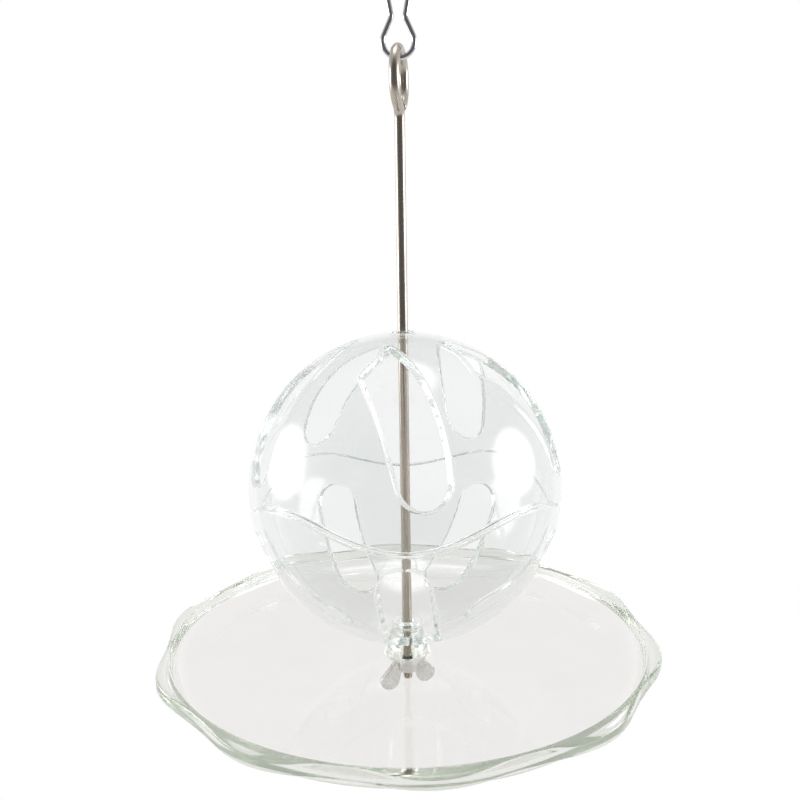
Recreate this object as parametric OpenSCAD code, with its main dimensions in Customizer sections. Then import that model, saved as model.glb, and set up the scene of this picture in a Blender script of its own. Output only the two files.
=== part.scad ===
// Hanging foraging ball for birds: a clear two-part ball and a clear scalloped tray on a steel rod.
// Millimetres. The origin is the middle of the hook's upper loop, +Z is up and the front faces -Y.

/* [Hook] */
// Wire thickness of the hook
hook_wire = 1.6; // [1.2:0.1:2.4]
// Middle radius of the upper loop
hook_loop_r = 9; // [7:0.5:15]
// Middle radius of the lower bulb
hook_bulb_r = 4.7; // [3.5:0.1:7]
// Half of the distance between the wires at the waist
hook_waist = 2; // [1.2:0.1:3]
// Lean of the wires above the waist, in degrees
hook_upper_lean = 10.6; // [8:0.2:20]
// Lean of the wires below the waist, in degrees
hook_lower_lean = 25; // [15:1:40]
// Bend radius of the wire at the waist
hook_bend_r = 2.5; // [1.5:0.1:5]
// Opening in the upper loop
hook_opening = 1; // [0.5:0.1:3]

/* [Rod] */
// Rod thickness
rod_d = 3.2; // [2.5:0.1:5]
// Thickness over the thread at the foot
thread_d = 3; // [2:0.1:4.5]
// Middle radius of the eye
eye_r = 8.4; // [6:0.2:14]
// Bend radius of the neck below the eye
neck_r = 4; // [3:0.5:8]
// Turn of the eye about the rod, in degrees
eye_turn = 10; // [0:1:90]
// Free wire end to the neck, as an angle of the eye
eye_end = 17; // [15:1:40]
// Eye centre above the top of the ball
rod_free = 75.9; // [50:1:150]
// Thread end below the nut
rod_end = 3; // [1:0.5:10]

/* [Ball] */
// Outer size of the ball
ball_d = 100; // [85:1:130]
// Wall of the ball
shell_t = 2.5; // [1.8:0.1:4]
// Hole for the rod
ball_hole = 4.2; // [3.8:0.1:6]
// Width of the boss at the rod hole
boss_d = 7; // [6:0.5:12]
// Reach of the boss into the ball
boss_in = 1.2; // [0.5:0.1:3]
// Height of the boss above the top of the ball
boss_out = 0.4; // [0.2:0.1:2]
// Seam below the middle of the ball
seam_drop = 1.9; // [0:0.1:4]
// Number of waves round the seam
seam_waves = 4; // [3:1:6]
// Rise and fall of the seam
seam_wave = 4.1; // [0.5:0.1:5]
// Height of the lip on the lower shell
lip_h = 0.8; // [0.6:0.1:1.2]
// Thickness of the lip
lip_t = 1.1; // [0.8:0.1:1.6]

/* [Slots and ports] */
// Number of slots, and of ports
slot_count = 5; // [3:1:6]
// Width of the slot at its foot
slot_w = 15.6; // [10:0.2:18]
// Radius of the slot's long curved edge
slot_edge_r = 83; // [70:1:110]
// Climb of the slot's cut, in degrees
slot_climb = 45; // [42:1:48]
// Rise of the slot's foot from the ball's middle, in degrees
slot_low = 8.1; // [6:0.1:12]
// Width of the port
port_w = 15.8; // [10:0.2:18]
// Distance between the two round ends of the port
port_len = 28; // [15:0.5:32]
// Lean of the port, in degrees
port_lean = 5.6; // [0:0.2:12]
// Drop of the port's cut, in degrees
port_drop = 45; // [35:1:50]
// Drop of the port's top from the ball's middle, in degrees
port_high = 12.6; // [10:0.1:20]

/* [Tray] */
// Width over the tray's round lip
tray_d = 157.4; // [130:1:200]
// Wall of the tray
tray_t = 2; // [1.5:0.1:3]
// Radius of the curved wall, on the inside
tray_cove = 7.5; // [4:0.5:12]
// Number of scallops
scallops = 10; // [6:1:16]
// Rise and fall of the scallops
scallop_wave = 1.6; // [0.5:0.1:3]
// Reach of the flange beyond the lip, at the middle of its waves
flange_w = 1.6; // [1.6:0.1:6]
// Height of the flange's edge, down from the lip
flange_t = 4.2; // [2:0.1:5]
// Turn of the scallops, in degrees
scallop_turn = 5; // [0:1:35]
// Width of the hub top
hub_d = 10; // [8:0.5:16]
// Width of the hub foot
hub_foot_d = 15; // [10:0.5:30]
// Hole for the rod
tray_hole = 4; // [3.6:0.1:6]

/* [Fasteners] */
// Washer width
washer_d = 12; // [9:0.5:20]
// Washer thickness
washer_t = 1; // [0.5:0.1:2]
// Washer hole
washer_hole = 3.6; // [3.4:0.1:5]
// Width of the nut's body at the washer
nut_d = 8; // [7:0.5:12]
// Width of the nut's body at its foot
nut_foot_d = 7; // [6:0.5:12]
// Height of the nut's body
nut_h = 4.6; // [3:0.1:8]
// Width over the wings
wing_span = 20; // [16:0.5:32]
// Drop of the wing tips below the washer
wing_h = 10.5; // [8:0.5:16]
// Thickness of a wing
wing_t = 1.8; // [1.2:0.1:3]
// Radius of a wing's round tip
wing_tip_r = 3.4; // [2.5:0.1:4.5]
// Turn of the wings, in degrees
wing_turn = 25; // [0:1:180]

/* [Clearances] */
// Hook wire to the eye
hang_gap = 0.2; // [0.1:0.05:0.5]
// Upper shell to lower shell
seam_gap = 0.3; // [0.1:0.05:0.5]
// Ball to the tray's hub
seat_gap = 0.2; // [0.1:0.05:0.5]
// Nut to thread, all round
thread_gap = 0.03; // [0.02:0.01:0.1]

/* [Hidden] */
$fn = 96;
// Overlap that makes cuts and joins clean
lap = 0.1;
// Straight wire is thinner than its bends by this much
wire_step = 0.04;

// Hook heights
waist_z = -(hook_loop_r / cos(hook_upper_lean) - hook_waist) / tan(hook_upper_lean);
bulb_z = waist_z - (hook_bulb_r - hook_waist * cos(hook_lower_lean)) / sin(hook_lower_lean);
waist_turn = hook_upper_lean + hook_lower_lean;
waist_cut = hook_bend_r * tan(waist_turn / 2);
opening_angle = asin(hook_opening / hook_loop_r);

// Eye and rod heights
eye_top_z = bulb_z - hook_bulb_r + hook_wire / 2 + rod_d / 2 + hang_gap;
eye_z = eye_top_z - eye_r;
// Short straight between the eye and the neck
neck_straight = 1;
neck_reach = norm([eye_r + neck_r, neck_straight]);
neck_angle = asin(neck_r / neck_reach) + atan(neck_straight / (eye_r + neck_r));
neck_z = eye_z - (eye_r + neck_r) * cos(neck_angle) - neck_straight * sin(neck_angle);

// Ball
ball_r = ball_d / 2;
ball_inner_r = ball_r - shell_t;
ball_z = eye_z - rod_free - ball_r;
seam_steps = 24;
// Reach of the cutting shapes, from the ball's middle to well outside its wall
cut_reach = ball_r + 2 * shell_t;

// Slot outline, in the plane that the cut is square to, with heights from rises on the ball
foot_at = [4.7, cut_height(slot_low - slot_climb) + slot_w / 2];
edge_lean = 3.9;
slot_corner = [-12.7, cut_height(56 - slot_climb)];
slot_shoulder = [-6.9, cut_height(65.6 - slot_climb)];
slot_tip = cut_height(74.2 - slot_climb);
outline_steps = 16;

// Port outline, in the plane that the cut is square to
port_top = [-0.9, cut_height(port_drop - port_high) - port_w / 2];

// Tray heights, down from the ball
tray_lip_z = ball_z - ball_r;
tray_floor_z = tray_lip_z - tray_cove;
tray_base_z = tray_floor_z - tray_t;
tray_lip_r = tray_d / 2;
cove_r = tray_lip_r - tray_t - tray_cove;
// The flange starts within the wall
flange_root_r = tray_lip_r - 0.75 * tray_t;
scallop_steps = 16;

// Fastener heights
washer_z = tray_base_z - washer_t;
nut_low_z = washer_z - nut_h;
rod_low_z = nut_low_z - rod_end;

// Points of a circle arc from one angle to another
function arc(c, r, from, to, steps) =
    [for (i = [0 : steps]) c + r * [cos(from + (to - from) * i / steps), sin(from + (to - from) * i / steps)]];

// Height in a cut's plane of a point on the ball, at an angle from the cut's direction
function cut_height(a) = ball_r * sin(a);

// Height of the seam above the ball's middle, at an angle from the middle of one wave
function seam_height(a) = -seam_drop - seam_wave * cos(seam_waves * a);

// One bent length of wire in the XZ plane
module wire_arc(d, r, from, turn) {
    rotate([90, 0, 0])
        rotate([0, 0, from])
            rotate_extrude(angle = turn)
                translate([r, 0])
                    circle(d = d);
}

// One straight length of wire in the XZ plane, leaning to +X, let a little into the bends at its ends
module wire_line(d, from, lean, length) {
    translate([from[0], 0, from[1]])
        rotate([0, lean, 0])
            translate([0, 0, -lap])
                cylinder(d = d - wire_step, h = length + 2 * lap);
}

// Two strands on one side of the hook, with the waist bend between them
module hook_side() {
    low = [hook_bulb_r * cos(hook_lower_lean), bulb_z + hook_bulb_r * sin(hook_lower_lean)];
    low_len = (low[0] - hook_waist) / sin(hook_lower_lean) - waist_cut;
    high = [hook_waist + waist_cut * sin(hook_upper_lean), waist_z + waist_cut * cos(hook_upper_lean)];
    high_len = (hook_loop_r * cos(hook_upper_lean) - high[0]) / sin(hook_upper_lean);
    bend_out = hook_bend_r / cos(waist_turn / 2);
    bend_dir = (hook_lower_lean - hook_upper_lean) / 2;
    wire_line(hook_wire, low, -hook_lower_lean, low_len);
    translate([hook_waist + bend_out * cos(bend_dir), 0, waist_z + bend_out * sin(bend_dir)])
        wire_arc(hook_wire, hook_bend_r, 180 - hook_upper_lean, waist_turn);
    wire_line(hook_wire, high, hook_upper_lean, high_len);
}

// Wire hook with a small lower bulb that carries the eye and a larger loop that goes over a cage bar
module hanger_hook() {
    color("silver") {
        translate([0, 0, bulb_z])
            wire_arc(hook_wire, hook_bulb_r, 180 - hook_lower_lean, 180 + 2 * hook_lower_lean);
        hook_side();
        mirror([1, 0, 0])
            hook_side();
        wire_arc(hook_wire, hook_loop_r, -hook_upper_lean, 180 + 2 * hook_upper_lean - opening_angle);
    }
}

// Steel rod bent to an eye at the top, with a thread at the foot
module eye_rod() {
    color("slategray") {
        rotate([0, 0, -90 - eye_turn]) {
            translate([neck_r, 0, neck_z])
                wire_arc(rod_d, neck_r, 90 + neck_angle, 90 - neck_angle);
            neck_top = [neck_r * (1 - sin(neck_angle)), neck_z + neck_r * cos(neck_angle)];
            wire_line(rod_d, neck_top, 90 - neck_angle, neck_straight);
            translate([0, 0, eye_z])
                wire_arc(rod_d, eye_r, neck_angle - 90, 360 - neck_angle - eye_end);
        }
        wire_line(rod_d, [0, washer_z + lap], 0, neck_z - washer_z - lap);
        translate([0, 0, rod_low_z])
            cylinder(d = thread_d, h = washer_z - rod_low_z + lap);
    }
}

// Everything below the seam, raised by a distance, as one wedge for each wave
module below_seam(raise) {
    half_wave = 180 / seam_waves;
    wedge_side = cut_reach * tan(half_wave);
    line = [for (i = [0 : seam_steps])
        let (a = half_wave * (2 * i / seam_steps - 1)) [ball_r * sin(a), seam_height(a) + raise]];
    for (i = [0 : seam_waves - 1])
        rotate([0, 0, 360 * i / seam_waves])
            intersection() {
                rotate([90, 0, 0])
                    linear_extrude(height = cut_reach)
                        polygon(concat([[-wedge_side, -cut_reach], [-wedge_side, line[0][1]]], line,
                            [[wedge_side, line[0][1]], [wedge_side, -cut_reach]]));
                linear_extrude(height = 4 * cut_reach, center = true)
                    polygon([[0, 0], [-wedge_side, -cut_reach], [wedge_side, -cut_reach]]);
            }
}

// Hollow wall between two radii
module ball_wall(inner, outer) {
    difference() {
        sphere(r = outer);
        sphere(r = inner);
    }
}

// Prism through the ball wall, square to a direction that climbs by an angle
module side_cut(climb) {
    rotate([90 - climb, 0, 0])
        linear_extrude(height = cut_reach)
            children();
}

// Long curved slot with a round foot, a straight edge and a narrow blunt tip
module slot_outline() {
    foot_r = slot_w / 2;
    edge_at = foot_at - (slot_edge_r - foot_r) * [cos(edge_lean), sin(edge_lean)];
    tip_rise = asin((slot_tip - edge_at[1]) / slot_edge_r);
    away = slot_corner - foot_at;
    reach = norm(away);
    touch = atan2(away[1], away[0]) + acos(foot_r / reach);
    polygon(concat(
        arc(foot_at, foot_r, touch - 360, edge_lean, outline_steps),
        arc(edge_at, slot_edge_r, edge_lean, tip_rise, outline_steps),
        [slot_shoulder, slot_corner]));
}

// Port with two round ends
module port_outline() {
    port_r = port_w / 2;
    translate(port_top)
        rotate([0, 0, port_lean])
            polygon(concat(
                arc([0, 0], port_r, 0, 180, outline_steps),
                arc([0, -port_len], port_r, 180, 360, outline_steps)));
}

// Upper half of the ball, which slides up the rod for filling
module upper_shell() {
    color("lightcyan", 0.5)
        translate([0, 0, ball_z])
            difference() {
                union() {
                    ball_wall(ball_inner_r, ball_r);
                    translate([0, 0, ball_inner_r - boss_in])
                        cylinder(d = boss_d, h = shell_t + boss_in + boss_out);
                }
                cylinder(d = ball_hole, h = ball_d);
                below_seam(seam_gap);
                intersection() {
                    sphere(r = ball_inner_r + lip_t + seam_gap);
                    below_seam(lip_h + seam_gap);
                }
                for (i = [0 : slot_count - 1])
                    rotate([0, 0, 360 * i / slot_count])
                        side_cut(slot_climb)
                            slot_outline();
            }
}

// Lower half of the ball, with the lip that centres the upper half
module lower_shell() {
    color("lightcyan", 0.5)
        translate([0, 0, ball_z])
            difference() {
                union() {
                    intersection() {
                        ball_wall(ball_inner_r, ball_r);
                        below_seam(0);
                    }
                    intersection() {
                        ball_wall(ball_inner_r, ball_inner_r + lip_t);
                        below_seam(lip_h);
                    }
                    translate([0, 0, -ball_r])
                        cylinder(d = hub_d, h = shell_t + boss_in);
                }
                translate([0, 0, -ball_d])
                    cylinder(d = ball_hole, h = ball_d);
                for (i = [0 : slot_count - 1])
                    rotate([0, 0, 360 * i / slot_count])
                        side_cut(-port_drop)
                            port_outline();
            }
}

// Profile of the round dish
module dish_profile() {
    translate([tray_hole / 2, tray_base_z])
        square([cove_r - tray_hole / 2 + lap, tray_t]);
    translate([cove_r, tray_lip_z])
        intersection() {
            difference() {
                circle(r = tray_cove + tray_t);
                circle(r = tray_cove);
            }
            translate([0, -tray_cove - tray_t])
                square(tray_cove + tray_t);
        }
}

// Clear dish with a curved wall, a scalloped flange level with its lip and a hub that carries the ball
module tray() {
    color("honeydew", 0.5) {
        rotate_extrude()
            dish_profile();
        difference() {
            translate([0, 0, tray_lip_z - flange_t])
                linear_extrude(height = flange_t)
                    polygon([for (i = [0 : scallops * scallop_steps - 1])
                        let (a = 360 * i / (scallops * scallop_steps))
                        (tray_lip_r + flange_w + scallop_wave * cos(scallops * (a + 90 - scallop_turn)))
                            * [cos(a), sin(a)]]);
            translate([0, 0, tray_base_z])
                cylinder(r = flange_root_r, h = tray_lip_z - tray_base_z + lap);
        }
        difference() {
            translate([0, 0, tray_floor_z - lap])
                cylinder(d1 = hub_foot_d, d2 = hub_d, h = tray_cove - seat_gap + lap);
            translate([0, 0, tray_base_z])
                cylinder(d = tray_hole, h = ball_r);
        }
    }
}

// Flat washer under the tray
module washer() {
    color("gainsboro")
        translate([0, 0, washer_z])
            difference() {
                cylinder(d = washer_d, h = washer_t);
                translate([0, 0, -lap])
                    cylinder(d = washer_hole, h = washer_t + 2 * lap);
            }
}

// Wing nut that holds the tray on the rod
module wing_nut() {
    color("gainsboro")
        translate([0, 0, washer_z])
            rotate([0, 0, wing_turn])
                difference() {
                    union() {
                        translate([0, 0, -nut_h])
                            cylinder(d1 = nut_foot_d, d2 = nut_d, h = nut_h);
                        for (side = [0, 180])
                            rotate([90, 0, side])
                                linear_extrude(height = wing_t, center = true)
                                    wing_outline();
                    }
                    translate([0, 0, -nut_h - lap])
                        cylinder(d = thread_d + 2 * thread_gap, h = nut_h + 2 * lap);
                }
}

// One wing, from the nut's body out to its round tip
module wing_outline() {
    tip_at = [wing_span / 2 - wing_tip_r, wing_tip_r - wing_h];
    root = (thread_d + nut_foot_d) / 4;
    translate(tip_at)
        circle(r = wing_tip_r);
    polygon([[root, -lap], [nut_d / 2, -lap], [wing_span / 2 - lap, tip_at[1]],
        [tip_at[0] - wing_tip_r + lap, tip_at[1]], [root, -nut_h + lap]]);
}

hanger_hook();
eye_rod();
upper_shell();
lower_shell();
tray();
washer();
wing_nut();
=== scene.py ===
"""Looks of a hanging foraging ball: a clear two-part ball over a clear scalloped tray on a steel rod.

Sizes in the classes are millimetres, with the heights taken from the fixed frame.
Meshes are written in metres.
"""
import logging
import math
from abc import ABC, abstractmethod
from dataclasses import dataclass, field
from enum import Enum
from typing import Any, Iterable, Mapping, Sequence

import bmesh
import bpy
import numpy as np
from mathutils import Matrix, Vector
from mathutils.geometry import delaunay_2d_cdt


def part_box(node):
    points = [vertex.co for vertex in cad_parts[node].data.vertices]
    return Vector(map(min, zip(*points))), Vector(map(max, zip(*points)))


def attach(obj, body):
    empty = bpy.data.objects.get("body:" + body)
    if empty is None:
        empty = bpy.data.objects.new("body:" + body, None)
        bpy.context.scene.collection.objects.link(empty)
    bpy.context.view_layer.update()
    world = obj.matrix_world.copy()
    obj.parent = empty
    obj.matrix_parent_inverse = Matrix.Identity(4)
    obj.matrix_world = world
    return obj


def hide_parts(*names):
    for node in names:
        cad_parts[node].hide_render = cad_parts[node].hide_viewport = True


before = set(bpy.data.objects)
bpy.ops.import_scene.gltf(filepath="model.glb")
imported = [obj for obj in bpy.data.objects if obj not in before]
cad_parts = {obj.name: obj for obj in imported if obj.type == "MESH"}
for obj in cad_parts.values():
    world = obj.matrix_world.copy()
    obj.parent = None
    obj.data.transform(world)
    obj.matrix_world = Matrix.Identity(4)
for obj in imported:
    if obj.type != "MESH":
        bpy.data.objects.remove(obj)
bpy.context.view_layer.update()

LOG = logging.getLogger("foraging_ball")
MM = 0.001
UP = Vector((0.0, 0.0, 1.0))
# A colour is red, green, blue and alpha. A corner is two places and the radius that rounds it.
Colour = tuple[float, float, float, float]
Corner = tuple[float, float, float]
WHITE: Colour = (1.0, 1.0, 1.0, 1.0)


class Slot(Enum):
    """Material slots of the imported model."""

    HOOK = "hook_wire"
    ROD = "rod_steel"
    BALL = "clear_ball"
    TRAY = "clear_tray"
    FASTENER = "fastener_steel"


class Half(Enum):
    """The two halves of the ball, by the side on which their pole lies."""

    UPPER = 1
    LOWER = -1


class Num:
    """A number socket that takes part in Python arithmetic."""

    def __init__(self, kit: "NodeKit", socket: bpy.types.NodeSocket) -> None:
        """Keep an output socket and the node tree that it belongs to."""
        self.kit = kit
        self.socket = socket

    def math(self, operation: str, *values: Any) -> "Num":
        """Add one Math node on numbers or sockets, in the order of its inputs."""
        return self.kit.node("ShaderNodeMath", {"operation": operation}, dict(enumerate(values)))["Value"]

    def __add__(self, other: Any) -> "Num":
        """Give the sum."""
        return self.math("ADD", self, other)

    __radd__ = __add__

    def __sub__(self, other: Any) -> "Num":
        """Give the difference."""
        return self.math("SUBTRACT", self, other)

    def __rsub__(self, other: Any) -> "Num":
        """Give the difference from a plain number."""
        return self.math("SUBTRACT", other, self)

    def __mul__(self, other: Any) -> "Num":
        """Give the product."""
        return self.math("MULTIPLY", self, other)

    __rmul__ = __mul__

    def __neg__(self) -> "Num":
        """Give the number with its sign turned."""
        return self * -1.0

    def __abs__(self) -> "Num":
        """Give the size without its sign."""
        return self.math("ABSOLUTE", self)

    def __or__(self, other: Any) -> "Num":
        """Give the larger of two."""
        return self.math("MAXIMUM", self, other)

    __ror__ = __or__

    def ramp(self, start: float, stop: float, low: float = 0.0, high: float = 1.0) -> "Num":
        """Turn a range of this number into a soft step from low to high."""
        inputs = {"Value": self, "From Min": start, "From Max": stop, "To Min": low, "To Max": high}
        return self.kit.node("ShaderNodeMapRange", {"interpolation_type": "SMOOTHSTEP"}, inputs)["Result"]

    def blend(self, low: Any, high: Any) -> "Num":
        """Mix two colours by this number."""
        return self.kit.node("ShaderNodeMix", {"data_type": "RGBA"}, {0: self, 6: low, 7: high})[2]

    def scaled(self, by: tuple[float, float, float]) -> "Num":
        """Scale a vector socket along X, Y and Z."""
        return self.kit.node("ShaderNodeVectorMath", {"operation": "MULTIPLY"}, {0: self, 1: by})["Vector"]

    def length(self) -> "Num":
        """Give the length of a vector socket."""
        return self.kit.node("ShaderNodeVectorMath", {"operation": "LENGTH"}, {0: self})["Value"]


class Outputs:
    """Outputs of a node, by name or number."""

    def __init__(self, kit: "NodeKit", node: bpy.types.Node) -> None:
        """Keep a node and its tree."""
        self.kit = kit
        self.node = node

    def __getitem__(self, key: str | int) -> Num:
        """Wrap one output."""
        return Num(self.kit, self.node.outputs[key])


class NodeKit:
    """Node tree of a material, a lamp or the world, emptied and ready to be filled."""

    def __init__(self, tree: bpy.types.NodeTree) -> None:
        """Empty a tree."""
        self.tree = tree
        tree.nodes.clear()

    @classmethod
    def of_material(cls, name: str) -> tuple["NodeKit", bpy.types.Material]:
        """Start a new material.

        Args:
            name: Name of the material.
        """
        material = bpy.data.materials.new(name)
        material.use_nodes = True
        return cls(material.node_tree), material

    def node(self, kind: str, settings: Mapping[str, Any] | None = None,
             inputs: Mapping[str | int, Any] | None = None) -> Outputs:
        """Add a node, with its settings set before its inputs.

        Args:
            kind: Type name of the node.
            settings: Values of the node's own settings.
            inputs: Numbers, colours or sockets by input name or number.

        Returns:
            The node's outputs.
        """
        node = self.tree.nodes.new(kind)
        for key, value in (settings or {}).items():
            setattr(node, key, value)
        for key, value in (inputs or {}).items():
            if isinstance(value, Num):
                self.tree.links.new(value.socket, node.inputs[key])
            else:
                node.inputs[key].default_value = value
        return Outputs(self, node)

    def noise(self, place: Num, scale: float, detail: float = 2.0, distortion: float = 0.0) -> Num:
        """Add a noise texture, about one half in the middle, with a number of features in a unit."""
        inputs = {"Vector": place, "Scale": scale, "Detail": detail, "Distortion": distortion}
        return self.node("ShaderNodeTexNoise", None, inputs)["Fac"]

    def bump(self, height: Num, distance: float) -> Num:
        """Add a bump, where a height of one stands for a distance in metres."""
        inputs = {"Height": height, "Distance": distance, "Strength": 1.0}
        return self.node("ShaderNodeBump", None, inputs)["Normal"]

    def mix(self, share: Num, one: Num, two: Num) -> Num:
        """Mix two shaders."""
        return self.node("ShaderNodeMixShader", None, {0: share, 1: one, 2: two})["Shader"]

    def seen(self, *kinds: str) -> Num:
        """Tell whether a ray is of one of some kinds.

        Args:
            kinds: Outputs of the Light Path node.

        Returns:
            One or more for a ray of these kinds, nought for others.
        """
        path = self.node("ShaderNodeLightPath")
        result = path[kinds[0]]
        for kind in kinds[1:]:
            result = result | path[kind]
        return result


@dataclass(frozen=True)
class ClearPlastic:
    """Clear moulded plastic with faint flow waves, hairline scuffs and a slight tint in its depth.

    Attributes:
        name: Name of the material.
        tint: Colour of the light that the surface lets through.
        depth: Colour that is left after a long way through the plastic.
        density: How fast the colour builds up, in a metre.
        edge: Colour of the light that the cut edges let through. On the ball it is an untinted white,
        a painted highlight that lights the cut edges up against the tinted body; on the tray a greener tint.
        index: Refractive index.
        gloss: Roughness of the untouched surface.
        scuff: Roughness that the hairlines add.
        frost: Roughness that the cut edges add.
        haze: Roughness that the cloudy places add.
        dimness: Share of the tint that is left in the clear places.
        wave: Height of the flow waves in metres.
        flows: Flow waves in a metre.
        hairs: Hairlines in a metre.
        hair_width: Width of a hairline, as a share of the noise.
        patches: Scuffed patches in a metre.
        clouds: Cloudy places in a metre.
    """

    name: str
    tint: Colour
    depth: Colour
    density: float
    edge: Colour = WHITE
    index: float = 1.49
    gloss: float = 0.012
    scuff: float = 0.10
    frost: float = 0.08
    haze: float = 0.01
    dimness: float = 0.985
    wave: float = 0.00003
    flows: float = 42.0
    hairs: float = 120.0
    hair_width: float = 0.006
    patches: float = 34.0
    clouds: float = 60.0

    def material(self) -> bpy.types.Material:
        """Make the material.

        Returns:
            The new material.
        """
        kit, material = NodeKit.of_material(self.name)
        place = kit.node("ShaderNodeTexCoord")["Object"]
        flow = kit.noise(place, self.flows, detail=1.0, distortion=0.6)
        hair = kit.noise(place, self.hairs, detail=3.0, distortion=1.2)
        patch = kit.noise(place, self.patches).ramp(0.52, 0.68)
        hairline = abs(hair - 0.5).ramp(0.0, self.hair_width, 1.0, 0.0) * patch
        cloud = kit.noise(place, self.clouds, detail=3.0).ramp(0.3, 0.7)
        cut = kit.node("ShaderNodeAttribute", {"attribute_name": Draft.FROST})["Fac"]
        body = cloud.blend((*(self.dimness * c for c in self.tint[:3]), 1.0), self.tint)
        plastic = kit.node("ShaderNodeBsdfPrincipled", None, {
            # Cut edges take the edge colour: on the ball an untinted white, a painted highlight against the
            # tinted body.
            "Base Color": cut.blend(body, self.edge),
            "Roughness": self.gloss + self.scuff * hairline + self.frost * cut + self.haze * cloud,
            "IOR": self.index,
            "Transmission Weight": 1.0,
            "Normal": kit.bump(flow, self.wave),
        })["BSDF"]
        passed = kit.node("ShaderNodeBsdfTransparent", None, {"Color": self.tint})["BSDF"]
        surface = kit.mix(kit.seen("Is Shadow Ray"), plastic, passed)
        depth = kit.node("ShaderNodeVolumeAbsorption", None, {"Color": self.depth, "Density": self.density})
        kit.node("ShaderNodeOutputMaterial", None, {"Surface": surface, "Volume": depth["Volume"]})
        return material


@dataclass(frozen=True)
class Metal(ABC):
    """Bare metal with fine lines, duller where it is worn.

    Attributes:
        name: Name of the material.
        bright: Colour of the clean metal.
        dull: Colour of the worn metal.
        smooth: Roughness of the clean metal.
        rough: Roughness that wear adds.
        relief: Height of the lines in metres.
    """

    name: str
    bright: Colour
    dull: Colour
    smooth: float
    rough: float
    relief: float

    @abstractmethod
    def wear(self, kit: NodeKit) -> tuple[Num, Num]:
        """Give the wear and the height of the lines, each from nought to one."""

    def material(self) -> bpy.types.Material:
        """Make the material.

        Returns:
            The new material.
        """
        kit, material = NodeKit.of_material(self.name)
        worn, lines = self.wear(kit)
        metal = kit.node("ShaderNodeBsdfPrincipled", None, {
            "Base Color": worn.blend(self.bright, self.dull),
            "Metallic": 1.0,
            "Roughness": self.smooth + self.rough * worn,
            "Normal": kit.bump(lines, self.relief),
        })
        kit.node("ShaderNodeOutputMaterial", None, {"Surface": metal["BSDF"]})
        return material


@dataclass(frozen=True)
class DrawnWire(Metal):
    """Metal wire with draw lines along its length, read from the wire's own straightened places.

    Attributes:
        LINES: Draw lines in a metre, across the wire and along it.
        PATCHES: Dull patches in a metre, across the wire and along it.
    """

    LINES = (2600.0, 2600.0, 26.0)
    PATCHES = (260.0, 260.0, 90.0)

    def wear(self, kit: NodeKit) -> tuple[Num, Num]:
        """Give wear in lines and patches.

        Args:
            kit: Tree of the material.

        Returns:
            The wear, and the height of the lines.
        """
        place = kit.node("ShaderNodeAttribute", {"attribute_name": Wire.PLACE})["Vector"]
        lines = kit.noise(place.scaled(self.LINES), scale=1.0, detail=3.0)
        patches = kit.noise(place.scaled(self.PATCHES), scale=1.0, detail=4.0).ramp(0.35, 0.7)
        return lines.ramp(0.42, 0.66) * 0.7 + patches * 0.3, lines


@dataclass(frozen=True)
class TurnedSteel(Metal):
    """Plain steel with fine turning rings about the rod and a few dull spots.

    Attributes:
        RINGS: Turning rings in a metre.
        SPOTS: Dull spots in a metre.
    """

    RINGS = 7000.0
    SPOTS = 420.0

    def wear(self, kit: NodeKit) -> tuple[Num, Num]:
        """Give wear in rings and spots.

        Args:
            kit: Tree of the material.

        Returns:
            The wear, and the height of the rings.
        """
        place = kit.node("ShaderNodeTexCoord")["Object"]
        off_axis = place.scaled((1.0, 1.0, 0.0)).length()
        rings = kit.noise(kit.node("ShaderNodeCombineXYZ", None, {"X": off_axis})["Vector"], self.RINGS)
        spots = kit.noise(place, self.SPOTS, detail=4.0).ramp(0.5, 0.7)
        return rings * 0.45 + spots * 0.55, rings


PLATED_WIRE = DrawnWire(
    "plated_wire", bright=(0.64, 0.64, 0.66, 1.0), dull=(0.54, 0.54, 0.555, 1.0),
    smooth=0.05, rough=0.04, relief=0.0000003)
DRAWN_STAINLESS = DrawnWire(
    "drawn_stainless", bright=(0.48, 0.43, 0.375, 1.0), dull=(0.40, 0.355, 0.31, 1.0),
    smooth=0.24, rough=0.1, relief=0.0000003)
TURNED_STEEL = TurnedSteel(
    "turned_steel", bright=(0.66, 0.65, 0.63, 1.0), dull=(0.48, 0.47, 0.45, 1.0),
    smooth=0.2, rough=0.22, relief=0.00001)
# The ball keeps the default white edge colour, a painted highlight on its cut edges against its greyer tint.
CLEAR_BALL = ClearPlastic(
    "clear_ball_plastic", tint=(0.915, 0.925, 0.92, 1.0), depth=(0.76, 0.82, 0.79, 1.0), density=8.0)
# The tray's slightly warm tint is partly the plastic's own tint and partly a painted warm reflection.
CLEAR_TRAY = ClearPlastic(
    "clear_tray_plastic", tint=(0.885, 0.873, 0.86, 1.0), depth=(0.56, 0.63, 0.52, 1.0), density=7.0,
    edge=(0.80, 0.825, 0.77, 1.0), scuff=0.08)


def around(steps: int) -> list[float]:
    """Give even angles of a whole turn, in radians."""
    return [2 * math.pi * i / steps for i in range(steps)]


def quarter(steps: int) -> list[float]:
    """Give even angles of a quarter turn with both ends, in radians."""
    return [math.pi / 2 * i / steps for i in range(steps + 1)]


def arc(centre: Sequence[float], radius: float, start: float, stop: float, steps: int = 40) -> list[Vector]:
    """Give points on a circle arc in a plane, both ends included, with angles in degrees."""
    angles = [math.radians(start + (stop - start) * i / steps) for i in range(steps + 1)]
    return [Vector((centre[0] + radius * math.cos(a), centre[1] + radius * math.sin(a))) for a in angles]


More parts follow.
